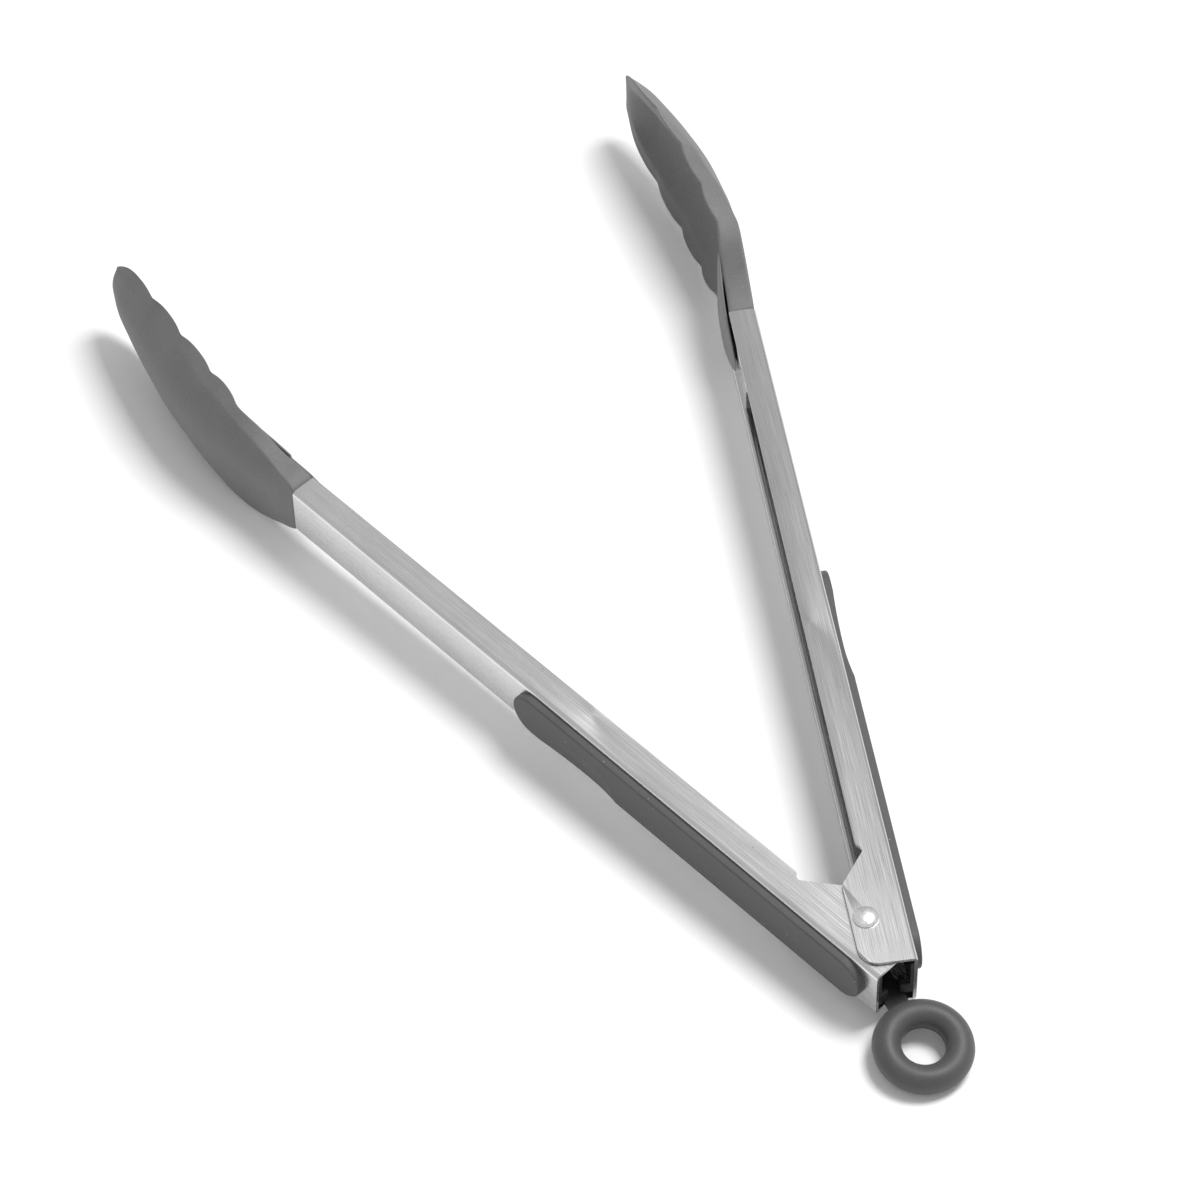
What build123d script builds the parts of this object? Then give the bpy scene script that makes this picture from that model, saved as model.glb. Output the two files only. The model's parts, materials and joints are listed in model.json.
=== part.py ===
"""Spring loaded kitchen tongs: two channel arms with silicone jaws on one rivet, a torsion
spring that opens them, and a pull ring with a sliding strip that locks them shut.

Frame: millimetres, +Z up along the pivot, +Y from the pivot towards the jaws, +X across.
The tongs lie on their side, fully open. An arm is drawn in its own plane, whose first
coordinate runs outwards, from the centre line to the arm's web, and whose second runs
along the arm, from the pivot to the jaw.
"""

from build123d import *
from math import cos, radians, sin
import os

os.makedirs("parts", exist_ok=True)

# Opening
HALF_OPEN = 17.1  # angle between the centre line and each arm, fully open
PIVOT = (0, -110.17, 16.23)  # the origin is level with the jaws' rims, under the middle of the tongs

# Arms: pressed steel channels
SHEET = 0.8
WEB_OUT = 9.3  # pivot axis to the outer face of the web
ARM_FRONT = 181.5  # pivot axis to the seam with the jaw
ARM_REAR = 12.7
OUTER_HALF_HEIGHT = 8.15
INNER_HALF_HEIGHT = 7.2  # leaves 0.15 mm between the nested ears
FOLD_RADIUS = 1.2
EAR_EDGE = -3.45  # inner edge of the flat ears, past the centre line
EAR_SHOULDER = 9.6
NOTCH_DEEP = 3.2  # relief notch where the curled lip ends
NOTCH_ALONG = 18.4
LIP_START = 20.0
LIP_INSET_REAR = 1.7  # flange edge beside the notch
LIP_INSET_FRONT = 2.6  # flange edge at the seam
LIP_RADIUS = 0.85

# Rivet
SHANK_RADIUS = 2.0
TURNING_GAP = 0.05
RIVET_HEAD_RADIUS = 2.9
RIVET_HEAD_HEIGHT = 1.3
RIVET_RIM = 0.35  # straight edge under the dome

# Grip pads
PAD_REAR = -9.0
PAD_FRONT = 103.0
PAD_WIDTH = 11.6
PAD_THICK = 2.0
PAD_EDGE = 0.9
THUMB_ALONG = 76.0
THUMB_DEPTH = 1.0
THUMB_LENGTH = 19.0

# Jaws: (along the arm, crown, slim side's ridge and its height, full side's ridge and its
# height, rim, rim half height); the two jaws are alike, one turned half way round
JAW_STATIONS = [
    (191.0, 9.8, 7.8, 9.0, 9.0, 11.7, 3.1, 9.0),
    (198.0, 10.0, 7.0, 10.2, 9.1, 13.7, 3.3, 11.3),
    (206.0, 10.3, 6.6, 12.1, 9.2, 13.2, 3.5, 14.0),
    (214.0, 10.4, 5.8, 13.2, 8.0, 13.3, 2.7, 15.5),
    (224.0, 9.6, 4.0, 13.6, 5.3, 13.6, 1.0, 16.08),
    (234.0, 7.9, 1.9, 13.6, 2.4, 13.6, -1.0, 16.08),
    (244.0, 5.2, -1.3, 12.6, -1.1, 12.6, -3.5, 14.9),
    (254.0, 1.6, -4.4, 10.9, -4.3, 10.9, -6.1, 12.8),
    (262.0, -2.2, -6.5, 8.4, -6.5, 8.4, -7.5, 9.8),
]
JAW_TIP = (268.6, -6.3, -7.8, 4.2, -7.8, 4.2, -8.5, 4.8)
JAW_WALL = 2.4
HOLLOW_CORNER = 1.7  # ridge to the hollow's own, both ways
HOLLOW_LIP = 2.0  # thickness of the rim
HOLLOW_PAST_RIM = 4.0
HOLLOW_FLARE = 0.6
HOLLOW_STATIONS = 9  # stations that the hollow runs through, from the seam
SCALLOPS = [209.0, 221.5, 235.5, 249.0]
SCALLOP_RADIUS = 1.1
NECK = (9.3, 8.9, 2.6)  # crown, ridge and rim at the seam

# Jaw cores
CORE_REAR = 163.0
CORE_FRONT = 196.0
CORE_WALL = 1.6
CORE_SIDE_IN = 4.7  # side walls stop short of the curled lips
CORE_FIT = 0.03
TONGUE_THICK = 0.9
TONGUE_INSET = 0.9  # silicone over the tongue
TONGUE_HALF = 4.6
BRIDGE_OUT = 2.9  # plate that closes the arm's open side, between the curled lips
BRIDGE_THICK = 2.0
BRIDGE_REAR = 160.0
BRIDGE_EDGE = 1.9  # half height of the arm less that of the plate
BRIDGE_ROUND = 0.6  # rear corner radius as a share of the plate's half height

# Torsion spring
WIRE = 1.4
COIL_RADIUS = 4.2  # to the middle of the wire
COIL_BOTTOM = -1.9
COIL_TOP = 5.9
LEG_REACH = 30.0
LEG_DROP = 0.85  # end of the coil to the middle of a leg

# Lock
LOCK_TRAVEL = 8.0
STRIP_BOTTOM = -6.1
STRIP_THICK = 1.0
STRIP_HALF = 3.6
SLOT_HALF = SHANK_RADIUS + 0.1
STRIP_MARGIN = 3.6
TAIL_HALF = 2.5
TAIL_FLAT_END = -15.3
BARB_THICK = 1.2
BARB_LENGTH = 3.6
BARB_TOP = -2.5
LUG_BOTTOM = -4.6
LUG_TOP = -2.5
LUG_IN = 5.5
LUG_THICK = 0.8
LUG_LENGTH = 3.2
LINER_BOTTOM = -2.45  # clears the barbs
LINER_TOP = 6.2  # clears the ears
LINER_FRONT = 6.0
LINER_THICK = 0.8

# Pull ring
RING_RADIUS = 8.15
TUBE_RADIUS = 3.35
RING_DROOP = 7.0  # tilt of the ring, down towards its rear
RING_Y = -27.4
RING_Z = -6.7
RING_BORE = 5.0
TONGUE_DEPTH = 1.2  # strip end past the middle of the ring's tube

# Middle of the ring's tube, at its end near the arms
TUBE_Y = RING_Y + RING_RADIUS * cos(radians(RING_DROOP))
TUBE_Z = RING_Z + RING_RADIUS * sin(radians(RING_DROOP))

C = cos(radians(HALF_OPEN))
S = sin(radians(HALF_OPEN))
OUTER_PLANE = Plane(origin=PIVOT, x_dir=(C, -S, 0), z_dir=(0, 0, 1))
INNER_PLANE = Plane(origin=PIVOT, x_dir=(-C, -S, 0), z_dir=(0, 0, -1))
LOCK_PLANE = Plane(origin=PIVOT)
SIDE_PLANE = Plane(origin=PIVOT, x_dir=(0, 1, 0), z_dir=(1, 0, 0))


def cross_plane(arm, along):
    """Plane across an arm: first coordinate outwards, second along the pivot axis."""
    return Plane(origin=arm.from_local_coords((0, along, 0)), x_dir=arm.x_dir, z_dir=-arm.y_dir)


def add_box(plane, first, second, height, mode=Mode.ADD):
    """Box in the part being built, given its (low, high) spans in a plane's coordinates."""
    spans = (first, second, height)
    middle = tuple(sum(span) / 2 for span in spans)
    with Locations(plane.location * Location(middle)):
        Box(*[high - low for low, high in spans], mode=mode)


def add_rod(start, end, radius):
    """Round rod in the part being built, between two points."""
    along = end - start
    with Locations(Plane(origin=start, z_dir=along)):
        Cylinder(radius, along.length, align=(Align.CENTER, Align.CENTER, Align.MIN))


def fold_edges(part, arm):
    """The two long edges where the web meets the flanges."""
    edges = part.edges().filter_by(Axis(arm.origin, arm.y_dir))
    return edges.filter_by(lambda edge: abs(arm.to_local_coords(edge.center()).X - WEB_OUT) < 0.01)


def curled_lip(arm, height):
    """Round bead along the inner edge of one flange."""
    start = arm.from_local_coords((LIP_INSET_REAR + LIP_RADIUS, LIP_START + 1.0, height))
    end = arm.from_local_coords((LIP_INSET_FRONT + LIP_RADIUS, ARM_FRONT - 0.4, height))
    add_rod(start, end, LIP_RADIUS)


def channel(arm, half_height, hole_radius):
    """Pressed channel: web outwards, curled flanges inwards and flat ears."""
    with BuildPart() as part:
        with BuildSketch(arm):
            with BuildLine():
                inner_edge = FilletPolyline(
                    (WEB_OUT, -ARM_REAR),
                    (EAR_EDGE, -ARM_REAR + 0.4),
                    (EAR_EDGE, EAR_SHOULDER),
                    (NOTCH_DEEP, NOTCH_ALONG),
                    (LIP_INSET_REAR, LIP_START),
                    (LIP_INSET_FRONT, ARM_FRONT),
                    radius=[4.5, 1.2, 1.0, 0.7],
                )
                Polyline(inner_edge @ 1, (WEB_OUT, ARM_FRONT), (WEB_OUT, -ARM_REAR))
            make_face()
        extrude(amount=half_height, both=True)
        fillet(fold_edges(part, arm), FOLD_RADIUS)
        inside = half_height - SHEET
        web_in = WEB_OUT - SHEET
        add_box(arm, (-20, web_in), (-20, ARM_FRONT + 5), (-inside, inside), Mode.SUBTRACT)
        for side in (-1, 1):
            curled_lip(arm, side * (half_height - LIP_RADIUS - 0.02))
        with BuildSketch(arm):
            Circle(hole_radius)
        extrude(amount=half_height + 1, both=True, mode=Mode.SUBTRACT)
    return part.part


def catch(arm):
    """Moulded liner on the web's inner face. Its rear lug turns in and forwards, and the
    lock's barb catches inside it."""
    web_in = WEB_OUT - SHEET
    up = arm.z_dir.Z
    with BuildPart() as part:
        liner = sorted((up * LINER_BOTTOM, up * LINER_TOP))
        add_box(arm, (web_in - LINER_THICK, web_in), (-ARM_REAR, LINER_FRONT), liner)
        lug = sorted((up * LUG_BOTTOM, up * (LINER_BOTTOM + LINER_THICK)))
        add_box(arm, (LUG_IN, web_in), (-ARM_REAR, -ARM_REAR + LUG_THICK), lug)
        flap = sorted((up * LUG_BOTTOM, up * LUG_TOP))
        add_box(arm, (LUG_IN, LUG_IN + LUG_THICK), (-ARM_REAR, -ARM_REAR + LUG_LENGTH), flap)
    return part.part


def grip_pad(arm):
    """Silicone grip on the web's outer face, with a dish for the thumb."""
    face = Plane(
        origin=arm.from_local_coords((WEB_OUT, (PAD_FRONT + PAD_REAR) / 2, 0)),
        x_dir=arm.y_dir,
        z_dir=arm.x_dir,
    )
    dish_radius = (THUMB_LENGTH**2 / 4 + THUMB_DEPTH**2) / (2 * THUMB_DEPTH)
    dish_centre = WEB_OUT + PAD_THICK - THUMB_DEPTH + dish_radius
    with BuildPart() as part:
        with BuildSketch(face):
            SlotOverall(PAD_FRONT - PAD_REAR, PAD_WIDTH)
        extrude(amount=PAD_THICK)
        fillet(part.faces().sort_by(Axis(arm.origin, arm.x_dir))[-1].edges(), PAD_EDGE)
        with BuildSketch(arm):
            with Locations((dish_centre, THUMB_ALONG)):
                Circle(dish_radius)
        extrude(amount=PAD_WIDTH, both=True, mode=Mode.SUBTRACT)
    return part.part


def jaw_section(arm, along, crown, slim, slim_height, full, full_height, rim, rim_height):
    """Section across a jaw: flat rim side, flared side walls, arched outer face."""
    with BuildSketch(cross_plane(arm, along)) as section:
        with BuildLine():
            Polyline((full, full_height), (rim, rim_height), (rim, -rim_height), (slim, -slim_height))
            ThreePointArc((slim, -slim_height), (crown, 0), (full, full_height))
        make_face()
    return section.sketch


def hollow_section(arm, along, crown, slim, slim_height, rim, rim_height):
    """Section across a jaw's hollow: alike on both sides, inside the slim side's walls and
    open past the rim."""
    near = (slim - HOLLOW_CORNER, slim_height - HOLLOW_CORNER)
    edge = (rim, rim_height - HOLLOW_LIP)
    far = (rim - HOLLOW_PAST_RIM, edge[1] + HOLLOW_FLARE)
    with BuildSketch(cross_plane(arm, along)) as section:
        with BuildLine():
            Polyline(near, edge, far, (far[0], -far[1]), (edge[0], -edge[1]), (near[0], -near[1]))
            ThreePointArc((near[0], -near[1]), (crown - JAW_WALL, 0), near)
        make_face()
    return section.sketch


def jaw(arm, neck_height):
    """Silicone scoop, moulded over the core, flush with the steel at the seam."""
    crown, ridge, rim = NECK
    seam = (ARM_FRONT, crown, ridge, neck_height, ridge, neck_height, rim, neck_height)
    stations = [seam] + JAW_STATIONS
    outside = [jaw_section(arm, *station) for station in stations + [JAW_TIP]]
    hollow = [
        hollow_section(arm, *station[:4], *station[-2:]) for station in stations[:HOLLOW_STATIONS]
    ]
    with BuildPart() as part:
        loft(outside)
        loft(hollow, mode=Mode.SUBTRACT)
        with BuildSketch(arm):
            for along in SCALLOPS:
                with Locations((rim_at(along, stations) - 0.3, along)):
                    Circle(SCALLOP_RADIUS)
        extrude(amount=20, both=True, mode=Mode.SUBTRACT)
        tongue(arm, ARM_FRONT - 1, Mode.SUBTRACT)
    return part.part


def rim_at(along, stations):
    """Place of the jaw's rim between its stations."""
    for before, after in zip(stations, stations[1:]):
        if before[0] <= along <= after[0]:
            share = (along - before[0]) / (after[0] - before[0])
            return before[-2] + share * (after[-2] - before[-2])
    return stations[-1][-2]


def tongue(arm, start, mode=Mode.ADD):
    """Flat tongue of a jaw core, buried in the silicone."""
    outward = (WEB_OUT - TONGUE_INSET - TONGUE_THICK, WEB_OUT - TONGUE_INSET)
    add_box(arm, outward, (start, CORE_FRONT), (-TONGUE_HALF, TONGUE_HALF), mode)


def jaw_core(arm, half_height):
    """Stiff core that carries a jaw: a channel-shaped tang in the steel and a buried tongue."""
    inside = half_height - SHEET - CORE_FIT
    web_in = WEB_OUT - SHEET - CORE_FIT
    tang = (CORE_REAR, ARM_FRONT)
    with BuildPart() as part:
        add_box(arm, (CORE_SIDE_IN, web_in), tang, (-inside, inside))
        hollow = inside - CORE_WALL
        span = (CORE_REAR - 1, ARM_FRONT + 1)
        add_box(arm, (0, web_in - CORE_WALL), span, (-hollow, hollow), Mode.SUBTRACT)
        bridge = half_height - BRIDGE_EDGE
        web = Plane(arm.from_local_coords((BRIDGE_OUT, 0, 0)), x_dir=arm.y_dir, z_dir=arm.x_dir)
        with BuildSketch(web) as plate:
            with Locations(((BRIDGE_REAR + ARM_FRONT) / 2, 0)):
                Rectangle(ARM_FRONT - BRIDGE_REAR, 2 * bridge)
            fillet(plate.vertices().group_by(Axis.X)[0], bridge * BRIDGE_ROUND)
        extrude(amount=BRIDGE_THICK)
        tongue(arm, ARM_FRONT - 2)
    return part.part


def spring_leg(arm, height):
    """Straight leg from the coil to the inside of an arm's web."""
    start = arm.from_local_coords((COIL_RADIUS, 0, height))
    end = arm.from_local_coords((WEB_OUT - SHEET - WIRE / 2 - 0.15, LEG_REACH, height))
    add_rod(start, end, WIRE / 2)


with BuildPart() as pivot_rivet:
    head_bottoms = (OUTER_HALF_HEIGHT, -OUTER_HALF_HEIGHT - RIVET_HEAD_HEIGHT)
    with BuildSketch(LOCK_PLANE):
        Circle(SHANK_RADIUS)
    extrude(amount=OUTER_HALF_HEIGHT, both=True)
    for bottom in head_bottoms:
        with BuildSketch(LOCK_PLANE.offset(bottom)):
            Circle(RIVET_HEAD_RADIUS)
        extrude(amount=RIVET_HEAD_HEIGHT)
    ends = pivot_rivet.faces().filter_by(Axis.Z).sort_by(Axis.Z)
    fillet(ends[0].edges() + ends[-1].edges(), RIVET_HEAD_HEIGHT - RIVET_RIM)

with BuildPart() as torsion_spring:
    with BuildSketch(LOCK_PLANE.offset(COIL_BOTTOM)):
        Circle(COIL_RADIUS + WIRE / 2)
    extrude(amount=COIL_TOP - COIL_BOTTOM)
    spring_leg(OUTER_PLANE, COIL_TOP - LEG_DROP)
    spring_leg(INNER_PLANE, -(COIL_BOTTOM + LEG_DROP))
    with BuildSketch(LOCK_PLANE.offset(COIL_BOTTOM)):
        Circle(COIL_RADIUS - WIRE / 2)
    extrude(amount=COIL_TOP - COIL_BOTTOM, mode=Mode.SUBTRACT)


def strip_tail():
    """Rear end of the lock strip: flat between the arms, then sloping into the ring."""
    top = STRIP_BOTTOM + STRIP_THICK
    bend = (TAIL_FLAT_END, STRIP_BOTTOM)
    end = (TUBE_Y - TONGUE_DEPTH, TUBE_Z - STRIP_THICK / 2)
    with BuildPart() as tail:
        with BuildSketch(SIDE_PLANE):
            with BuildLine():
                Polyline(
                    (0, top),
                    (0, STRIP_BOTTOM),
                    bend,
                    end,
                    (end[0], end[1] + STRIP_THICK),
                    (bend[0], top),
                    close=True,
                )
            make_face()
        extrude(amount=TAIL_HALF, both=True)
    return tail.part


with BuildPart() as lock_strip:
    front = LOCK_TRAVEL + STRIP_MARGIN
    with BuildSketch(LOCK_PLANE.offset(STRIP_BOTTOM)) as plate:
        with Locations((0, (front - STRIP_MARGIN) / 2)):
            RectangleRounded(2 * STRIP_HALF, front + STRIP_MARGIN, 1.4)
            SlotCenterToCenter(LOCK_TRAVEL, 2 * SLOT_HALF, rotation=90, mode=Mode.SUBTRACT)
    extrude(amount=STRIP_THICK)
    add(strip_tail())
    with BuildSketch(LOCK_PLANE.offset(STRIP_BOTTOM)):
        with Locations((0, LOCK_TRAVEL / 2)):
            SlotCenterToCenter(LOCK_TRAVEL, 2 * SLOT_HALF, rotation=90)
    extrude(amount=STRIP_THICK, mode=Mode.SUBTRACT)
    for side in (-1, 1):
        across = sorted((side * (STRIP_HALF - 0.2), side * (STRIP_HALF + BARB_THICK)))
        add_box(LOCK_PLANE, across, (-STRIP_MARGIN, 0), (STRIP_BOTTOM, BARB_TOP))

with BuildPart() as pull_ring:
    with Locations(LOCK_PLANE.location * Location((0, RING_Y, RING_Z), (RING_DROOP, 0, 0))):
        Torus(RING_RADIUS, TUBE_RADIUS)
        Cylinder(RING_BORE, 4 * TUBE_RADIUS, mode=Mode.SUBTRACT)
    add(strip_tail(), mode=Mode.SUBTRACT)

ARMS = {
    "outer": (OUTER_PLANE, OUTER_HALF_HEIGHT, SHANK_RADIUS + 0.02),
    "inner": (INNER_PLANE, INNER_HALF_HEIGHT, SHANK_RADIUS + TURNING_GAP),
}
pieces = {
    "pivot_rivet": pivot_rivet.part,
    "torsion_spring": torsion_spring.part,
    "lock_strip": lock_strip.part,
    "pull_ring": pull_ring.part,
}
for name, (arm, half_height, hole_radius) in ARMS.items():
    pieces[f"{name}_arm"] = channel(arm, half_height, hole_radius)
    pieces[f"{name}_catch"] = catch(arm)
    pieces[f"{name}_grip"] = grip_pad(arm)
    pieces[f"{name}_jaw"] = jaw(arm, half_height)
    pieces[f"{name}_jaw_core"] = jaw_core(arm, half_height)

for name, piece in pieces.items():
    piece.label = name
    export_step(piece, f"parts/{name}.step")
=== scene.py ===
"""The looks of the spring loaded kitchen tongs: brushed steel channel arms, silicone scoop
jaws and grips, a pull ring, a rivet and a torsion spring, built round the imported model.

New pieces are surfaces worked out with numpy. Arm coordinates are (out, along, up): out from
the centre line to the arm's web, along from the pivot to the jaw, up along the pivot axis.
"""

import json
import math

import bmesh
import bpy
import numpy as np
from bpy.props import FloatProperty, FloatVectorProperty, IntProperty, PointerProperty
from mathutils import Matrix, Vector


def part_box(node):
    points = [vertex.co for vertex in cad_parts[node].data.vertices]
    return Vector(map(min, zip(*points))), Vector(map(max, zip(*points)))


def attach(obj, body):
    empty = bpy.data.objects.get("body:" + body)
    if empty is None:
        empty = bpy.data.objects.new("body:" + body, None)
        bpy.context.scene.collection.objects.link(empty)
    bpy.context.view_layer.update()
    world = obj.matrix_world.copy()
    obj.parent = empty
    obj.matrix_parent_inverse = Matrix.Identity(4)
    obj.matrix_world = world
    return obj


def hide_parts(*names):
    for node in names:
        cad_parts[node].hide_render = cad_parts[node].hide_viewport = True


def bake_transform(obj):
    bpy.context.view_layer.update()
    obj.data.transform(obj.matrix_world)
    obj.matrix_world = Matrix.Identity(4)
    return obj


bl_info = {
    "name": "Kitchen Tongs",
    "version": (1, 0, 0),
    "blender": (4, 5, 0),
    "location": "View3D > Sidebar > Tongs",
    "description": "Builds the looks of spring loaded kitchen tongs round their packed model",
    "category": "Object",
}

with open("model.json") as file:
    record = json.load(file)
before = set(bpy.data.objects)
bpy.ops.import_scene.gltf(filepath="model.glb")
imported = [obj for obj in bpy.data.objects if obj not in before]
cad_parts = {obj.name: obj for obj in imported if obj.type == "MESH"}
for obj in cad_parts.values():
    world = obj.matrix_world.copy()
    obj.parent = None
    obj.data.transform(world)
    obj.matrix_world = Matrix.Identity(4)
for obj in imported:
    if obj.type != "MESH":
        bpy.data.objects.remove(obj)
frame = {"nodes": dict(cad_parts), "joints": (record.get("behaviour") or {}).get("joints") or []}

MM = 0.001
SIDES = {"outer": 1, "inner": -1}
SQUEEZE = next(j for j in frame["joints"] if j["name"] == "arm_squeeze")
PIVOT = Vector(SQUEEZE["pos_m"])
HALF_OPEN = math.radians(17.1)
WEB_OUT = 9.3 * MM  # pivot axis to the outer face of an arm's web
SEAM = 181.5 * MM  # pivot axis to the seam between an arm and its jaw
HALF_HEIGHTS = {
    side: (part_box(f"{side}_arm")[1].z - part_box(f"{side}_arm")[0].z) / 2 for side in SIDES
}


# ---------------------------------------------------------------- sizes and colours


def length(name, description, default):
    """A length in metres that a user may change, given in millimetres."""
    return FloatProperty(
        name=name, description=description, default=default * MM, unit="LENGTH", precision=5
    )


def colour(name, description, default):
    """A linear colour that a user may change."""
    return FloatVectorProperty(
        name=name, description=description, default=default, subtype="COLOR", size=3, min=0, max=1
    )


class JawSettings(bpy.types.PropertyGroup):
    wall: length("Wall", "Thickness of the scoop behind its ridge", 2.1)
    lip: length("Lip", "Thickness of the scoop at its rim", 0.9)
    scallop: length("Scallop", "Depth of the waves along the rim", 0.95)
    seam_gap: length("Seam gap", "Depth of the groove beside the steel", 0.5)
    painted_light_tint: colour("Silicone", "Colour of the jaws", (0.150, 0.150, 0.150))


class GripSettings(bpy.types.PropertyGroup):
    rear: length("Rear", "Rear end of the pad, along the arm", -9.0)
    front: length("Front", "Front end of the pad, along the arm", 103.0)
    width: length("Width", "Width of the pad", 11.6)
    thickness: length("Thickness", "Height of the pad over the web", 2.0)
    edge: length("Edge radius", "Rounding of the pad's edge", 0.5)
    dish_depth: length("Dish depth", "Depth of the thumb dish", 0.8)
    painted_light_tint: colour("Silicone", "Colour of the grip pads", (0.076, 0.076, 0.076))


class RingSettings(bpy.types.PropertyGroup):
    radius: length("Radius", "Middle of the ring to the middle of its tube", 8.15)
    tube: length("Tube radius", "Radius of the ring's tube", 3.3)
    bore: length("Bore", "Radius of the straight land in the hole", 5.0)
    behind: length("Behind", "Pivot axis to the middle of the ring", 27.4)
    below: length("Below", "Middle of the ring under the middle of the arms", 6.7)
    tilt: FloatProperty(
        name="Tilt", description="Tilt of the ring", default=math.radians(7), subtype="ANGLE"
    )
    painted_light_tint: colour("Silicone", "Colour of the ring", (0.070, 0.070, 0.070))


class SteelSettings(bpy.types.PropertyGroup):
    # The two arms are one steel, and their two colours are painted light. The outer arm's colour
    # is darkened as painted shade, and the inner arm's is lightened as a painted highlight for
    # the key light's reflection, which falls more on the inner arm.
    outer_tint: colour("Outer steel, painted shade", "Colour of the outer arm", (0.57, 0.57, 0.57))
    inner_tint: colour("Inner steel, painted highlight", "Colour of the inner arm", (0.74, 0.74, 0.74))
    roughness: FloatProperty(
        name="Roughness", description="Roughness of the brushed steel", default=0.27, min=0, max=1
    )
    rivet_tint: colour("Rivet", "Colour of the rivet", (0.98, 0.98, 0.98))
    # Near-black. This is partly the lock pieces' own dark nylon and partly painted shade, so that
    # the catches fill the opening between the arms with the black of the shade inside it.
    nylon_and_painted_shade_tint: colour("Nylon", "Colour of the lock pieces, partly painted shade", (0.02, 0.02, 0.021))


class SpringSettings(bpy.types.PropertyGroup):
    coil: length("Coil radius", "Pivot axis to the middle of the wire", 4.2)
    wire: length("Wire radius", "Radius of the spring wire", 0.68)
    bottom: length("Bottom", "Lower leg over the middle of the arms", -1.05)
    top: length("Top", "Upper leg over the middle of the arms", 5.05)
    reach: length("Reach", "Length of the legs along the arms", 30.0)
    turns: IntProperty(name="Turns", description="Whole turns of the coil", default=4, min=1)


class StageSettings(bpy.types.PropertyGroup):
    floor_tint: colour("Floor", "Colour of the floor", (0.95, 0.95, 0.95))
    world_light: FloatProperty(name="Sky", description="Strength of the sky", default=0.55, min=0)
    key_light: FloatProperty(name="Key", description="Key light in watts", default=14.0, min=0)


# ---------------------------------------------------------------- surfaces


def in_row(side, out, along, up):
    """Points given in arm coordinates, in the row frame: the arm's plane turned by half the
    opening about the pivot, and mirrored across the centre line for the inner arm."""
    cos, sin = math.cos(HALF_OPEN), math.sin(HALF_OPEN)
    across = SIDES[side] * (cos * out + sin * along)
    return np.stack(
        np.broadcast_arrays(across, PIVOT.y + cos * along - sin * out, PIVOT.z + up), axis=-1
    )


def smooth_curve(at, places, values):
    """Cubic curve through the given values: each span is a Hermite cubic whose end slopes
    are the mean slopes of the two spans that meet there."""
    places, values = np.asarray(places, float), np.asarray(values, float)
    slopes = np.gradient(values, places)
    i = np.clip(np.searchsorted(places, at) - 1, 0, len(places) - 2)
    span = places[i + 1] - places[i]
    t = (at - places[i]) / span
    return (
        (2 * t**3 - 3 * t**2 + 1) * values[i]
        + (t**3 - 2 * t**2 + t) * span * slopes[i]
        + (3 * t**2 - 2 * t**3) * values[i + 1]
        + (t**3 - t**2) * span * slopes[i + 1]
    )


def smooth_step(at, start, end):
    """0 before start, 1 after end, 3t^2 - 2t^3 between."""
    t = np.clip((at - start) / (end - start), 0, 1)
    return t * t * (3 - 2 * t)


def skin(points, flip=False, closed=False):
    """Faces of a grid of points whose columns close round. The first and last rows get a
    flat cap each, or join where the rows close too."""
    rows, columns = points.shape[:2]
    index = np.arange(rows * columns).reshape(rows, columns)
    rim = np.roll(index, -1, axis=1)
    below, below_rim = index, rim
    above, above_rim = np.roll(index, -1, axis=0), np.roll(rim, -1, axis=0)
    if not closed:
        below, below_rim, above, above_rim = (
            g[:-1] for g in (below, below_rim, above, above_rim)
        )
    quads = np.stack([below, below_rim, above_rim, above], axis=-1).reshape(-1, 4)
    faces = (quads[:, ::-1] if flip else quads).tolist()
    if not closed:
        first, last = index[0].tolist(), index[-1].tolist()
        faces += [first, last[::-1]] if flip else [first[::-1], last]
    return points.reshape(-1, 3), faces


def make_piece(name, shells, sharp_degrees=40.0):
    """One smooth mesh object from one or more closed shells, its poles welded."""
    points, faces = [], []
    for shell_points, shell_faces in shells:
        start = sum(len(p) for p in points)
        points.append(shell_points)
        faces += [[start + i for i in face] for face in shell_faces]
    mesh = bpy.data.meshes.new(name)
    mesh.from_pydata(np.concatenate(points), [], faces)
    weld(mesh, sharp_degrees)
    piece = bpy.data.objects.new(name, mesh)
    bpy.context.scene.collection.objects.link(piece)
    return piece


def weld(mesh, sharp_degrees):
    """Merges points that coincide, drops empty faces and shades smooth but for sharp edges."""
    editable = bmesh.new()
    editable.from_mesh(mesh)
    bmesh.ops.remove_doubles(editable, verts=editable.verts, dist=2e-6)
    bmesh.ops.dissolve_degenerate(editable, edges=editable.edges, dist=1e-7)
    editable.to_mesh(mesh)
    editable.free()
    mesh.shade_smooth()
    mesh.set_sharp_from_angle(angle=math.radians(sharp_degrees))
    mesh.update()


def finish_piece(piece, body, slot, material, *nodes):
    """Gives a new piece its material and body, and hides the nodes it stands for."""
    piece.data.materials.clear()
    piece.data.materials.append(material)
    if body:
        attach(piece, body)
    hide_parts(*nodes)
    return piece


# ---------------------------------------------------------------- materials


def new_material(name):
    """A node material with its tree emptied but for the output and one shader."""
    material = bpy.data.materials.new(name)
    material.use_nodes = True
    tree = material.node_tree
    return material, tree, tree.nodes["Principled BSDF"]


def add_node(tree, kind, **values):
    """A node with its attributes and, by name, its inputs set."""
    node = tree.nodes.new(kind)
    for name, value in values.items():
        if hasattr(node, name):
            setattr(node, name, value)
        else:
            node.inputs[name.replace("_", " ")].default_value = value
    return node


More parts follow.
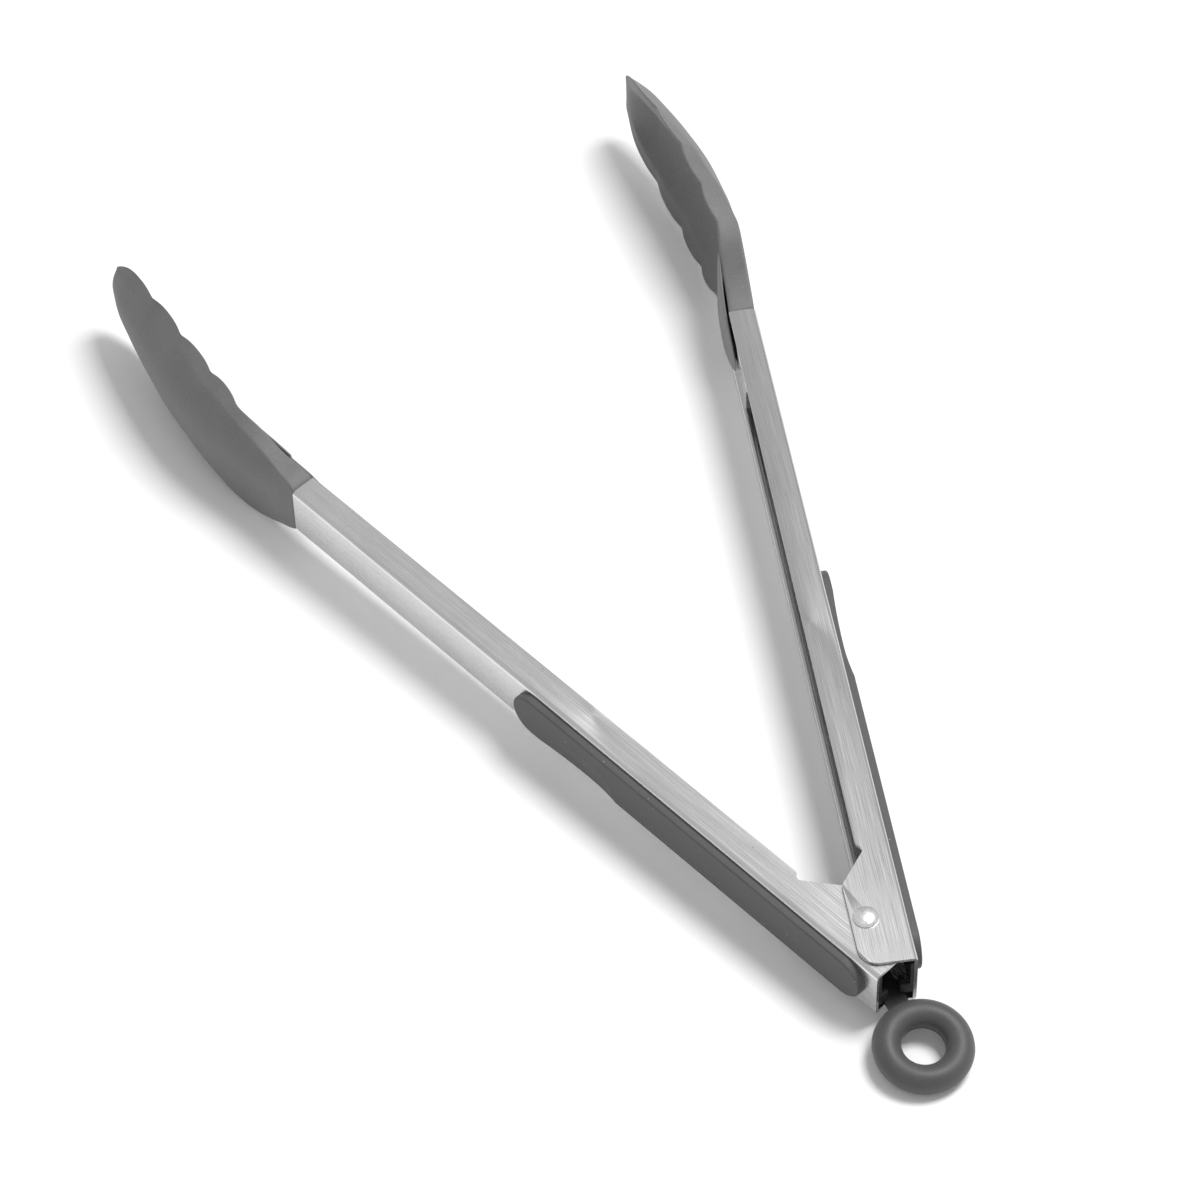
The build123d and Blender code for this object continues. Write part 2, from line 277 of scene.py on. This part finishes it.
def placed_texture(tree, kind, scale, turn=0.0, **values):
    """A texture on the piece's own coordinates, turned about Z and then stretched."""
    coordinates = add_node(tree, "ShaderNodeTexCoord")
    mapping = add_node(tree, "ShaderNodeMapping", vector_type="TEXTURE")
    mapping.inputs["Rotation"].default_value = (0, 0, turn)
    mapping.inputs["Scale"].default_value = tuple(1 / s for s in scale)
    texture = add_node(tree, kind, **values)
    tree.links.new(coordinates.outputs["Object"], mapping.inputs["Vector"])
    tree.links.new(mapping.outputs["Vector"], texture.inputs["Vector"])
    return texture


def ranged(tree, value, low, high, to_low, to_high):
    """A value carried from one range to another, clamped."""
    node = add_node(tree, "ShaderNodeMapRange")
    for i, number in enumerate((low, high, to_low, to_high), start=1):
        node.inputs[i].default_value = number
    tree.links.new(value, node.inputs[0])
    return node.outputs[0]


def blended(tree, share, first, second, kind="MIX"):
    """Mix of two colours, each a socket or a colour."""
    node = add_node(tree, "ShaderNodeMix", data_type="RGBA", blend_type=kind)
    for socket, value in zip((0, 6, 7), (share, first, second)):
        if isinstance(value, bpy.types.NodeSocket):
            tree.links.new(value, node.inputs[socket])
        else:
            node.inputs[socket].default_value = value if socket == 0 else (*value[:3], 1)
    return node.outputs[2]


def bumped(tree, shader, height, strength, distance):
    """Bump from a height value on a shader, over any bump that it has already."""
    bump = add_node(tree, "ShaderNodeBump", Strength=strength, Distance=distance)
    tree.links.new(height, bump.inputs["Height"])
    normal = shader.inputs["Normal"]
    if normal.is_linked:
        tree.links.new(normal.links[0].from_socket, bump.inputs["Normal"])
    tree.links.new(bump.outputs["Normal"], normal)


def grey(value):
    return (value, value, value)


def brushed_steel(name, painted_light_tint, roughness, turn):
    """Steel brushed lengthwise: two layers of noise stretched along the arm colour and
    roughen it, a broad cloud varies it and rare pits darken it."""
    material, tree, shader = new_material(name)
    fine = placed_texture(
        tree, "ShaderNodeTexNoise", (8000, 60, 8000), turn, Scale=1.0, Detail=3.0, Roughness=0.6
    )
    broad = placed_texture(
        tree, "ShaderNodeTexNoise", (900, 9, 900), turn, Scale=1.0, Detail=2.0, Roughness=0.5
    )
    cloud = placed_texture(tree, "ShaderNodeTexNoise", (70, 70, 70), Scale=1.0, Detail=2.0)
    pits = placed_texture(tree, "ShaderNodeTexVoronoi", (240, 150, 240), turn, Scale=1.0)
    strokes = ranged(tree, fine.outputs[0], 0.3, 0.7, 0.95, 1.03)
    bands = ranged(tree, broad.outputs[0], 0.3, 0.7, 0.98, 1.01)
    clouds = ranged(tree, cloud.outputs[0], 0.3, 0.7, 0.96, 1.03)
    pitted = ranged(tree, pits.outputs["Distance"], 0.035, 0.06, 0.75, 1.0)
    shade = painted_light_tint[:3]
    for value in (strokes, bands, clouds, pitted):
        shade = blended(tree, 1.0, shade, value, "MULTIPLY")
    tree.links.new(shade, shader.inputs["Base Color"])
    rough = ranged(tree, fine.outputs[0], 0.3, 0.7, roughness - 0.06, roughness + 0.07)
    tree.links.new(rough, shader.inputs["Roughness"])
    shader.inputs["Metallic"].default_value = 1.0
    shader.inputs["Anisotropic"].default_value = 0.35
    bumped(tree, shader, fine.outputs[0], 0.06, 0.00005)
    return material


def polished_steel(name, painted_light_tint, roughness):
    """Polished rivet steel with shallow hammer dents and a slightly clouded surface."""
    material, tree, shader = new_material(name)
    dents = placed_texture(
        tree, "ShaderNodeTexNoise", (620, 620, 620), Scale=1.0, Detail=2.0, Roughness=0.5
    )
    film = ranged(tree, dents.outputs[0], 0.35, 0.7, 0.80, 1.0)
    tree.links.new(blended(tree, 1.0, painted_light_tint, film, "MULTIPLY"), shader.inputs["Base Color"])
    shader.inputs["Metallic"].default_value = 1.0
    rough = ranged(tree, dents.outputs[0], 0.3, 0.7, roughness, roughness + 0.1)
    tree.links.new(rough, shader.inputs["Roughness"])
    bumped(tree, shader, dents.outputs[0], 0.5, 0.0004)
    return material


def silicone(name, painted_light_tint, roughness=0.62, specks=0.3):
    """Matte silicone: fine grain in colour and bump, a broad bloom, and sparse pale specks
    of dust, which are the middles of a few cells of a cell pattern."""
    material, tree, shader = new_material(name)
    grain = placed_texture(
        tree, "ShaderNodeTexNoise", (3000, 3000, 3000), Scale=1.0, Detail=3.0, Roughness=0.7
    )
    bloom = placed_texture(tree, "ShaderNodeTexNoise", (110, 110, 110), Scale=1.0, Detail=3.0)
    cells = placed_texture(tree, "ShaderNodeTexVoronoi", (950, 950, 950), Scale=1.0)
    shade = blended(
        tree, 1.0, painted_light_tint[:3], ranged(tree, grain.outputs[0], 0.3, 0.7, 0.84, 1.16), "MULTIPLY"
    )
    shade = blended(
        tree, 1.0, shade, ranged(tree, bloom.outputs[0], 0.3, 0.7, 0.92, 1.08), "MULTIPLY"
    )
    spot = ranged(tree, cells.outputs["Distance"], 0.10, 0.17, 1.0, 0.0)
    split = add_node(tree, "ShaderNodeSeparateColor")
    tree.links.new(cells.outputs["Color"], split.inputs[0])
    chosen = ranged(tree, split.outputs[0], 0.955, 0.965, 0.0, specks)
    both = add_node(tree, "ShaderNodeMath", operation="MULTIPLY")
    tree.links.new(spot, both.inputs[0])
    tree.links.new(chosen, both.inputs[1])
    shade = blended(tree, both.outputs[0], shade, grey(0.75))
    tree.links.new(shade, shader.inputs["Base Color"])
    tree.links.new(
        ranged(tree, bloom.outputs[0], 0.3, 0.7, roughness - 0.05, roughness + 0.06),
        shader.inputs["Roughness"],
    )
    shader.inputs["Specular IOR Level"].default_value = 0.42
    shader.inputs["Sheen Weight"].default_value = 0.06
    shader.inputs["Sheen Roughness"].default_value = 0.5
    bumped(tree, shader, grain.outputs[0], 0.25, 0.00006)
    return material


def moulded_nylon(name, painted_light_tint):
    """Dark moulded nylon with a fine spark-eroded grain. Its near-black colour is partly painted
    shade for the opening between the arms.
    """
    material, tree, shader = new_material(name)
    grain = placed_texture(
        tree, "ShaderNodeTexNoise", (2200, 2200, 2200), Scale=1.0, Detail=3.0, Roughness=0.6
    )
    shade = ranged(tree, grain.outputs[0], 0.3, 0.7, 0.85, 1.15)
    tree.links.new(blended(tree, 1.0, painted_light_tint, shade, "MULTIPLY"), shader.inputs["Base Color"])
    tree.links.new(
        ranged(tree, grain.outputs[0], 0.3, 0.7, 0.42, 0.55), shader.inputs["Roughness"]
    )
    bumped(tree, shader, grain.outputs[0], 0.2, 0.00005)
    return material


# ---------------------------------------------------------------- jaws

# Each row, in millimetres: along, crown, ridge and its half height on the slim side, ridge
# and its half height on the full side, rim, rim half height
JAW_ROWS = np.array(
    [
        (184.0, 9.5, 8.6, 8.3, 9.0, 8.7, 2.75, 8.2),
        (187.5, 9.7, 8.2, 8.6, 9.0, 10.1, 2.95, 8.5),
        (191.0, 9.8, 7.6, 9.0, 9.0, 11.7, 3.1, 9.0),
        (198.0, 10.0, 6.9, 10.2, 9.1, 13.7, 3.3, 11.3),
        (206.0, 10.3, 6.6, 12.1, 9.2, 13.0, 3.5, 14.0),
        (214.0, 10.4, 5.8, 13.2, 8.2, 13.0, 2.5, 15.4),
        (224.0, 9.6, 4.0, 13.7, 5.4, 13.6, 0.8, 15.9),
        (234.0, 7.9, 1.9, 13.6, 2.4, 13.6, -1.1, 15.9),
        (244.0, 5.1, -1.3, 12.6, -1.1, 12.6, -3.5, 14.8),
        (254.0, 1.5, -4.3, 10.8, -4.2, 10.8, -6.1, 12.9),
        (261.5, -1.6, -6.1, 8.4, -6.1, 8.4, -7.4, 10.4),
        (265.2, -3.8, -6.9, 6.4, -6.9, 6.4, -7.75, 7.7),
        (267.4, -5.2, -7.2, 4.8, -7.2, 4.8, -8.05, 5.4),
    ]
)
JAW_END = 267.4
# The inner arm's soft scoop sags a little towards the other one: its crown, by its tip
JAW_SAG = {"outer": 0.0, "inner": -1.3}
SAG_START, SAG_END = 212.0, 245.0
SCALLOP_ENDS = (207.0, 218.0, 232.0, 247.0, 279.0)  # the last lobe runs off the tip
HOLLOW_START = (199.6, 204.0)  # the neck's flat inner face steps down into the bowl
HOLLOW_END = (256.0, 265.5)  # the bowl rises to the level of the rim before the tip
NECK_RECESS = 0.9 * MM  # rim to the neck's flat inner face
TIP_RECESS = 0.1 * MM  # the same at the tip
GROOVE_WIDTH = 0.22 * MM  # half width of the groove beside the steel
TIP_ROUND = 0.7  # length of the rounded end, in millimetres


def scallops(along):
    """Wave along the rim, from 0 at the notches to 1 at the middle of each lobe:
    1 - |2t - 1|^2.4, where t runs from notch to notch. It fades out before the first notch,
    and a weighted average over seven neighbours rounds the notches."""
    wave = np.zeros_like(along)
    for start, end in zip(SCALLOP_ENDS, SCALLOP_ENDS[1:]):
        t = (along - start) / (end - start)
        wave = np.where((t >= 0) & (t <= 1), 1 - np.abs(2 * t - 1) ** 2.4, wave)
    before = 0.5 * (1 - smooth_step(along, SCALLOP_ENDS[0] - 9, SCALLOP_ENDS[0]))
    wave = np.where(along < SCALLOP_ENDS[0], before, wave)
    weights = np.array([1, 2, 3, 4, 3, 2, 1]) / 16
    return np.convolve(np.pad(wave, 3, mode="edge"), weights, "valid")


def jaw_loops(half_height, jaw, sag):
    """The scoop's closed sections, as (out, along, up), the full side upwards. From the
    crown, out falls as the 2.2 power of the height to the ridge, then straight to the rim;
    the inner face repeats this one wall inside. The neck's inner face is flat. The corners
    are softened by averaging."""
    seam_row = (SEAM / MM, 9.3, *(8.9, half_height / MM) * 2, 2.6, half_height / MM)
    rows = np.vstack([seam_row, JAW_ROWS])
    start = SEAM / MM + np.array([0, 0.12, 0.3])
    along = np.concatenate([start, np.linspace(182.4, JAW_END, 260)])
    crown, slim, slim_up, full, full_up, rim, rim_up = (
        smooth_curve(along, rows[:, 0], rows[:, k])[:, None] * MM for k in range(1, 8)
    )
    shift = sag * MM * smooth_step(along, SAG_START, SAG_END)[:, None]
    ripple = (0.5 - scallops(along))[:, None] * jaw.scallop
    crown = crown + shift
    rim = rim + ripple
    rim_up = rim_up - 0.35 * ripple
    end = smooth_step(along, *HOLLOW_END)[:, None]
    bowl = smooth_step(along, *HOLLOW_START)[:, None] * (1 - end)
    flat = rim + NECK_RECESS + (TIP_RECESS - NECK_RECESS) * end
    inner_crown = flat + bowl * (np.maximum(crown - jaw.wall, flat) - flat)

    def half(top, corner, corner_up, edge, edge_up, crown_points, side_points):
        arc = np.linspace(0, 1, crown_points)[None, :]
        side = np.linspace(0, 1, side_points)[None, 1:]
        out = np.hstack([top - (top - corner) * arc**2.2, corner + (edge - corner) * side])
        up = np.hstack([corner_up * arc, corner_up + (edge_up - corner_up) * side])
        return out, up

    def both_faces(ridge, ridge_up):
        ridge = ridge + 0.35 * ripple + 0.6 * shift
        ridge_up = ridge_up - 0.15 * ripple
        outer = half(crown, ridge, ridge_up, rim, rim_up, 34, 16)
        inner_ridge = np.maximum(ridge - 0.75 * jaw.wall, rim + 0.15 * MM)
        inner_ridge = flat + bowl * (inner_ridge - flat)
        inner_up = np.minimum(ridge_up - 0.9 * jaw.wall, rim_up - 1.6 * jaw.lip)
        inner = half(inner_crown, inner_ridge, inner_up, rim, rim_up - jaw.lip, 34, 16)
        return outer, inner

    full_outer, full_inner = both_faces(full, full_up)
    slim_outer, slim_inner = both_faces(slim, slim_up)
    out = np.hstack(
        [slim_outer[0][:, :0:-1], full_outer[0], full_inner[0][:, ::-1], slim_inner[0][:, 1:]]
    )
    up = np.hstack(
        [-slim_outer[1][:, :0:-1], full_outer[1], full_inner[1][:, ::-1], -slim_inner[1][:, 1:]]
    )
    for _ in range(2):
        out = (np.roll(out, 1, 1) + 2 * out + np.roll(out, -1, 1)) / 4
        up = (np.roll(up, 1, 1) + 2 * up + np.roll(up, -1, 1)) / 4
    # the groove beside the steel, and the rounded end of the tip
    inset = jaw.seam_gap * np.exp(-(((along * MM - SEAM) / GROOVE_WIDTH) ** 2))[:, None]
    middle = out.mean(axis=1, keepdims=True)
    shrink = 1 - inset / (half_height * 0.9)
    tip = np.clip((along - JAW_END + TIP_ROUND) / TIP_ROUND, 0, 1)[:, None]
    shrink = shrink * np.sqrt(1 - 0.35 * tip**2)
    out = middle + (out - middle) * shrink
    up = up * shrink
    return out, along[:, None] * MM, up


def tongue_loops(half_height):
    """The inner layer's rear tongue: a thin plate over the arm's open side, pointed at the
    rear. Its sections are rounded oblongs, a super-ellipse of the fourth power."""
    places = [169.8, 171.0, 173.0, 176.0, 181.5, 190.0, 196.0, 198.8]
    along = np.linspace(169.8, 198.8, 90)
    scale = half_height / MM / 8.15
    high = smooth_curve(along, places, [0.3, 1.9, 3.4, 5.0, 6.6, 8.3, 10.0, 10.8])[:, None]
    high = high * np.where(along < 190, scale, 1)[:, None]
    out = smooth_curve(along, places, [2.2, 2.1, 1.95, 1.75, 1.5, 1.9, 2.5, 2.9])[:, None]
    thick = smooth_curve(along, places, [0.1, 0.25, 0.4, 0.6, 0.85, 1.0, 1.0, 0.9])[:, None]
    turn = np.linspace(0, 2 * np.pi, 64, endpoint=False)[None, :]
    wave_out = np.sign(np.cos(turn)) * np.abs(np.cos(turn)) ** 0.5
    wave_up = np.sign(np.sin(turn)) * np.abs(np.sin(turn)) ** 0.5
    return (
        (out + thick / 2 + thick / 2 * wave_out) * MM,
        along[:, None] * MM,
        high * wave_up * MM,
    )


def make_jaw(side, material):
    half_height = HALF_HEIGHTS[side]
    jaw = bpy.context.scene.tongs_jaw
    # the two scoops are alike, one turned half way round about its arm
    out, along, up = jaw_loops(half_height, jaw, JAW_SAG[side])
    shells = [
        skin(in_row(side, out, along, up * SIDES[side]), flip=True),
        skin(in_row(side, *tongue_loops(half_height)), flip=side == "outer"),
    ]
    piece = make_piece(f"{side}_scoop", shells, 60)
    finish_piece(piece, f"{side}_arm", "jaw_silicone", material, f"{side}_jaw")


class TONGS_OT_jaws(bpy.types.Operator):
    """Make the two silicone scoops with scalloped rims"""

    bl_idname = "tongs.jaws"
    bl_label = "Jaws"

    def execute(self, context):
        material = silicone("Jaw silicone", context.scene.tongs_jaw.painted_light_tint, 0.6, 0.22)
        for side in SIDES:
            make_jaw(side, material)
        return {"FINISHED"}


# ---------------------------------------------------------------- grips

DISH_ALONG = 77.5 * MM  # middle of the thumb dish, along the arm
DISH_ASIDE = 8.0 * MM  # and to one side of the pad's middle line
DISH_RADIUS = 9.2 * MM
DISH_STRETCH = 1.9  # how much longer the dish is towards the jaw


def grip_shell(side, grip):
    """A pad with a stadium outline: rings run in from the outline to its middle line. The
    face is level but for the thumb dish, whose depth falls off as 1 - r^2 from its middle,
    stretched forwards, and the edge is a quarter round."""
    half = grip.width / 2
    straight = np.linspace(grip.front - half, grip.rear + half, 170)
    turn = np.linspace(0, np.pi, 26)[1:-1]
    ends = [np.full(len(turn), straight[i]) for i in (-1, 0)]
    line = np.concatenate([straight, ends[0], straight[::-1], ends[1]])
    ahead = np.concatenate([0 * straight, -np.sin(turn), 0 * straight, np.sin(turn)])
    aside = np.concatenate([0 * straight + 1, np.cos(turn), 0 * straight - 1, -np.cos(turn)])
    quarter = np.linspace(0, np.pi / 2, 8)
    level = np.linspace(grip.edge, half, 16)[1:]
    inset = np.concatenate([[0], grip.edge * (1 - np.cos(quarter)), level])
    rise = np.concatenate([[0], np.sin(quarter), np.ones(len(level))])
    inset, rise = inset[:, None], rise[:, None]
    along = line + (half - inset) * ahead
    up = (half - inset) * aside
    # the thumb dish opens towards the upper edge of the outer arm, the lower of the inner
    ahead_of_dish = (along - DISH_ALONG) / np.where(along > DISH_ALONG, DISH_STRETCH, 1.0)
    reach = np.hypot(ahead_of_dish, up * SIDES[side] - DISH_ASIDE) / DISH_RADIUS
    dish = grip.dish_depth * np.clip(1 - reach**2, 0, None)
    top = grip.thickness - dish
    out = WEB_OUT + np.where(rise > 0, top - grip.edge * (1 - rise), 0)
    out[0] = WEB_OUT
    return skin(in_row(side, out, along, up), side == "inner")


class TONGS_OT_grips(bpy.types.Operator):
    """Make the two silicone grip pads, each with a thumb dish"""

    bl_idname = "tongs.grips"
    bl_label = "Grips"

    def execute(self, context):
        grip = context.scene.tongs_grip
        material = silicone("Grip silicone", grip.painted_light_tint, 0.58, 0.4)
        for side in SIDES:
            piece = make_piece(f"{side}_pad", [grip_shell(side, grip)], 60)
            finish_piece(piece, f"{side}_arm", "grip_silicone", material, f"{side}_grip")
        return {"FINISHED"}


# ---------------------------------------------------------------- ring


class TONGS_OT_ring(bpy.types.Operator):
    """Make the pull ring"""

    bl_idname = "tongs.ring"
    bl_label = "Pull ring"

    def execute(self, context):
        ring = context.scene.tongs_ring
        piece = make_piece("ring", [ring_shell(ring)], 70)
        material = silicone("Ring silicone", ring.painted_light_tint, 0.5, 0.35)
        finish_piece(piece, "lock", "ring_silicone", material, "pull_ring")
        return {"FINISHED"}


def ring_shell(ring):
    """A torus whose hole is cut back to a straight land, with the fine line where the mould
    parts: a narrow bell-shaped ridge round the outside. It tilts down to the rear."""
    turn = np.linspace(0, 2 * np.pi, 144, endpoint=False)[:, None]
    round_tube = np.linspace(0, 2 * np.pi, 120, endpoint=False)[None, :]
    flash = 0.07 * MM * np.exp(-((np.sin(round_tube) / 0.035) ** 2)) * (np.cos(round_tube) > 0)
    reach = ring.radius + (ring.tube + flash) * np.cos(round_tube)
    reach = np.maximum(reach, ring.bore)
    height = ring.tube * np.sin(round_tube)
    across, back, up = reach * np.sin(turn), reach * np.cos(turn), height + 0 * turn
    cos, sin = math.cos(ring.tilt), math.sin(ring.tilt)
    points = np.stack(
        [
            across,
            PIVOT.y - ring.behind + cos * back - sin * up,
            PIVOT.z - ring.below + sin * back + cos * up,
        ],
        axis=-1,
    )
    return skin(points, closed=True)


# ---------------------------------------------------------------- rivet and spring

RIVET_RIM = 0.3 * MM  # height of the head's straight edge
RIVET_SHANK = 2.0 * MM  # radius between the heads
SPRING_CLEAR = 0.95 * MM  # outer face of an arm's web to the side of a spring leg


def rivet_shell():
    """A profile turned about the pivot axis: shank, and a low dome on each end whose height
    falls as 1 - r^2.4 and ends in a short straight edge."""
    low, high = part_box("pivot_rivet")
    half = (high.z - low.z) / 2
    head = (high.x - low.x) / 2
    seat = HALF_HEIGHTS["outer"]
    r = np.sin(np.linspace(0, np.pi / 2, 16)) * head * 0.985
    dome = seat + RIVET_RIM + (half - seat - RIVET_RIM) * (1 - (r / head) ** 2.4)
    radius = np.concatenate([r, [head, head, RIVET_SHANK]])
    height = np.concatenate([dome, [seat + RIVET_RIM * 0.8, seat, seat]])
    radius = np.concatenate([radius, radius[::-1]])[:, None]
    height = np.concatenate([height, -height[::-1]])[:, None]
    turn = np.linspace(0, 2 * np.pi, 72, endpoint=False)[None, :]
    across, back = radius * np.cos(turn), PIVOT.y + radius * np.sin(turn)
    points = np.stack(np.broadcast_arrays(across, back, PIVOT.z + height), axis=-1)
    return skin(points, flip=True)


def spring_shell(spring):
    """Round wire along a path: a straight leg inside the inner arm, a helix about the pivot
    axis, whose height grows evenly with its angle, and a leg inside the outer arm."""
    first, last = math.pi + HALF_OPEN, 2 * math.pi * (spring.turns + 1) - HALF_OPEN
    angle = np.linspace(first, last, 64 * spring.turns)
    rise = spring.bottom + (spring.top - spring.bottom) * np.linspace(0, 1, len(angle))
    across, back = spring.coil * np.cos(angle), PIVOT.y + spring.coil * np.sin(angle)
    coil = np.stack([across, back, PIVOT.z + rise], axis=-1)
    share = np.linspace(0, 1, 12)[:-1]
    leg_out = WEB_OUT - SPRING_CLEAR - spring.wire
    out = leg_out + (spring.coil - leg_out) * share
    along = spring.reach * (1 - share)
    legs = [in_row("inner", out, along, spring.bottom), in_row("outer", out, along, spring.top)]
    path = np.concatenate([legs[0], coil, legs[1][::-1]])
    ahead = np.gradient(path, axis=0)
    ahead /= np.linalg.norm(ahead, axis=1, keepdims=True)
    side = np.cross(ahead, (0, 0, 1))
    side /= np.linalg.norm(side, axis=1, keepdims=True)
    up = np.cross(side, ahead)
    turn = np.linspace(0, 2 * np.pi, 16, endpoint=False)[None, :, None]
    section = np.cos(turn) * side[:, None] + np.sin(turn) * up[:, None]
    return skin(path[:, None] + spring.wire * section, flip=True)


class TONGS_OT_metalwork(bpy.types.Operator):
    """Make the rivet and the spring, and smooth the arms"""

    bl_idname = "tongs.metalwork"
    bl_label = "Metalwork"

    def execute(self, context):
        steel = context.scene.tongs_steel
        # Each arm gets its own copy of the steel, and the copies differ only by painted light:
        # painted shade on the outer arm and a painted highlight on the inner one. Each jaw core
        # shares its arm's copy.
        for side, sign in SIDES.items():
            name = f"{side.capitalize()} arm steel"
            painted_light_tint = getattr(steel, f"{side}_tint")
            material = brushed_steel(name, painted_light_tint, steel.roughness, -sign * HALF_OPEN)
            arm = smoothed_copy(f"{side}_arm", f"{side}_channel")
            finish_piece(arm, f"{side}_arm", "arm_steel", material, f"{side}_arm")
            core = smoothed_copy(f"{side}_jaw_core", f"{side}_insert")
            finish_piece(core, f"{side}_arm", "core_steel", material, f"{side}_jaw_core")
        rivet = make_piece("rivet", [rivet_shell()], 50)
        polished = polished_steel("Rivet steel", steel.rivet_tint, 0.28)
        finish_piece(rivet, "outer_arm", "rivet_steel", polished, "pivot_rivet")
        spring = context.scene.tongs_spring
        coil = make_piece("coil", [spring_shell(spring)], 60)
        wire = polished_steel("Spring wire", grey(0.45), 0.3)
        finish_piece(coil, None, "spring_steel", wire, "torsion_spring")
        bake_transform(coil)
        # The near-black nylon is partly painted shade: the strip and catches stand in for the
        # shade inside the opening between the arms.
        nylon = moulded_nylon("Nylon", steel.nylon_and_painted_shade_tint)
        for name in ("lock_strip", "outer_catch", "inner_catch"):
            node = frame["nodes"][name]
            node.data.materials.clear()
            node.data.materials.append(nylon)
        return {"FINISHED"}


def smoothed_copy(node, name):
    """A welded, smooth-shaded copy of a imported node, of the same shape."""
    mesh = frame["nodes"][node].data.copy()
    mesh.name = name
    weld(mesh, 32)
    copy = bpy.data.objects.new(name, mesh)
    bpy.context.scene.collection.objects.link(copy)
    # flat faces keep their own direction and the small folds between them shade smoothly
    weighted = copy.modifiers.new("weighted normals", "WEIGHTED_NORMAL")
    weighted.keep_sharp = True
    weighted.weight = 100
    return copy


# ---------------------------------------------------------------- stage

RIM_TOUCH = 225 * MM  # pivot axis forwards to where the jaws' rims touch the floor
RING_TOUCH = 34 * MM  # and back to where the ring does
KEY_PLACE = (0.50, -0.03, 1.17)
KEY_SIZE = 0.5


def add_light(name, place, target, size, watts):
    """A square area light aimed at a point."""
    light = bpy.data.lights.new(name, "AREA")
    light.shape = "SQUARE"
    light.size = size
    light.energy = watts
    lamp = bpy.data.objects.new(name, light)
    lamp.location = place
    lamp.rotation_euler = (Vector(target) - Vector(place)).to_track_quat("-Z", "Y").to_euler()
    bpy.context.scene.collection.objects.link(lamp)


def add_floor(painted_light_tint):
    """A plain pale sheet that the jaws' rims and the ring both touch, so it leans a little."""
    jaw_low, ring_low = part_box("outer_jaw")[0].z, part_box("pull_ring")[0].z
    front, rear = PIVOT.y + RIM_TOUCH, PIVOT.y - RING_TOUCH
    lean = math.atan2(ring_low - jaw_low, front - rear)
    bpy.ops.mesh.primitive_grid_add(size=6, x_subdivisions=4, y_subdivisions=4)
    floor = bpy.context.object
    floor.name = "floor"
    turn = Matrix.Rotation(-lean, 4, "X")
    floor.data.transform(Matrix.Translation((0, front, jaw_low - 0.1 * MM)) @ turn)
    material, tree, shader = new_material("Floor")
    paper = placed_texture(tree, "ShaderNodeTexNoise", (300, 300, 300), Scale=1.0, Detail=2.0)
    shade = ranged(tree, paper.outputs[0], 0.3, 0.7, 0.995, 1.0)
    tree.links.new(blended(tree, 1.0, painted_light_tint, shade, "MULTIPLY"), shader.inputs["Base Color"])
    shader.inputs["Roughness"].default_value = 0.9
    shader.inputs["Specular IOR Level"].default_value = 0.1
    floor.data.materials.append(material)


def add_camera():
    """A long lens from the rear left, high over the tongs."""
    target = PIVOT + Vector((-9.44, 113.07, 0)) * MM
    place = PIVOT + Vector((-319.7, -544.2, 926.3)) * MM
    camera = bpy.data.objects.new("camera", bpy.data.cameras.new("camera"))
    camera.data.lens = 150.1
    camera.data.clip_start = 0.05
    aim = (target - place).to_track_quat("-Z", "Y").to_matrix().to_4x4()
    roll = Matrix.Rotation(math.radians(-1.745), 4, "Z")
    camera.matrix_world = Matrix.Translation(place) @ aim @ roll
    bpy.context.scene.collection.objects.link(camera)
    bpy.context.scene.camera = camera


class TONGS_OT_stage(bpy.types.Operator):
    """Set out the floor, the sky, the key light and the camera"""

    bl_idname = "tongs.stage"
    bl_label = "Stage"

    def execute(self, context):
        stage = context.scene.tongs_stage
        add_floor(stage.floor_tint)
        add_camera()
        world = bpy.data.worlds.new("Studio")
        world.use_nodes = True
        background = world.node_tree.nodes["Background"]
        background.inputs["Color"].default_value = (1, 1, 1, 1)
        background.inputs["Strength"].default_value = stage.world_light
        context.scene.world = world
        add_light("key", KEY_PLACE, (0, 0, 0), KEY_SIZE, stage.key_light)
        context.scene.view_settings.view_transform = "Standard"
        return {"FINISHED"}


# ---------------------------------------------------------------- add-on


class TONGS_PT_panel(bpy.types.Panel):
    """Sizes, colours and the steps that make the tongs"""

    bl_label = "Kitchen Tongs"
    bl_idname = "TONGS_PT_panel"
    bl_space_type = "VIEW_3D"
    bl_region_type = "UI"
    bl_category = "Tongs"

    def draw(self, context):
        for name in SETTINGS:
            group = getattr(context.scene, name)
            box = self.layout.box()
            for field in group.bl_rna.properties.keys()[2:]:
                box.prop(group, field)
        for operator in OPERATORS:
            self.layout.operator(operator.bl_idname)


SETTINGS = {
    "tongs_jaw": JawSettings,
    "tongs_grip": GripSettings,
    "tongs_ring": RingSettings,
    "tongs_steel": SteelSettings,
    "tongs_spring": SpringSettings,
    "tongs_stage": StageSettings,
}
OPERATORS = (TONGS_OT_stage, TONGS_OT_metalwork, TONGS_OT_jaws, TONGS_OT_grips, TONGS_OT_ring)


def register():
    for item in (*SETTINGS.values(), *OPERATORS, TONGS_PT_panel):
        bpy.utils.register_class(item)
    for name, group in SETTINGS.items():
        setattr(bpy.types.Scene, name, PointerProperty(type=group))


def unregister():
    for name in SETTINGS:
        delattr(bpy.types.Scene, name)
    for item in reversed((*SETTINGS.values(), *OPERATORS, TONGS_PT_panel)):
        bpy.utils.unregister_class(item)


def main():
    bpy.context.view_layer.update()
    register()
    bpy.ops.tongs.stage()
    bpy.ops.tongs.metalwork()
    bpy.ops.tongs.jaws()
    bpy.ops.tongs.grips()
    bpy.ops.tongs.ring()


if __name__ == "__main__":
    main()
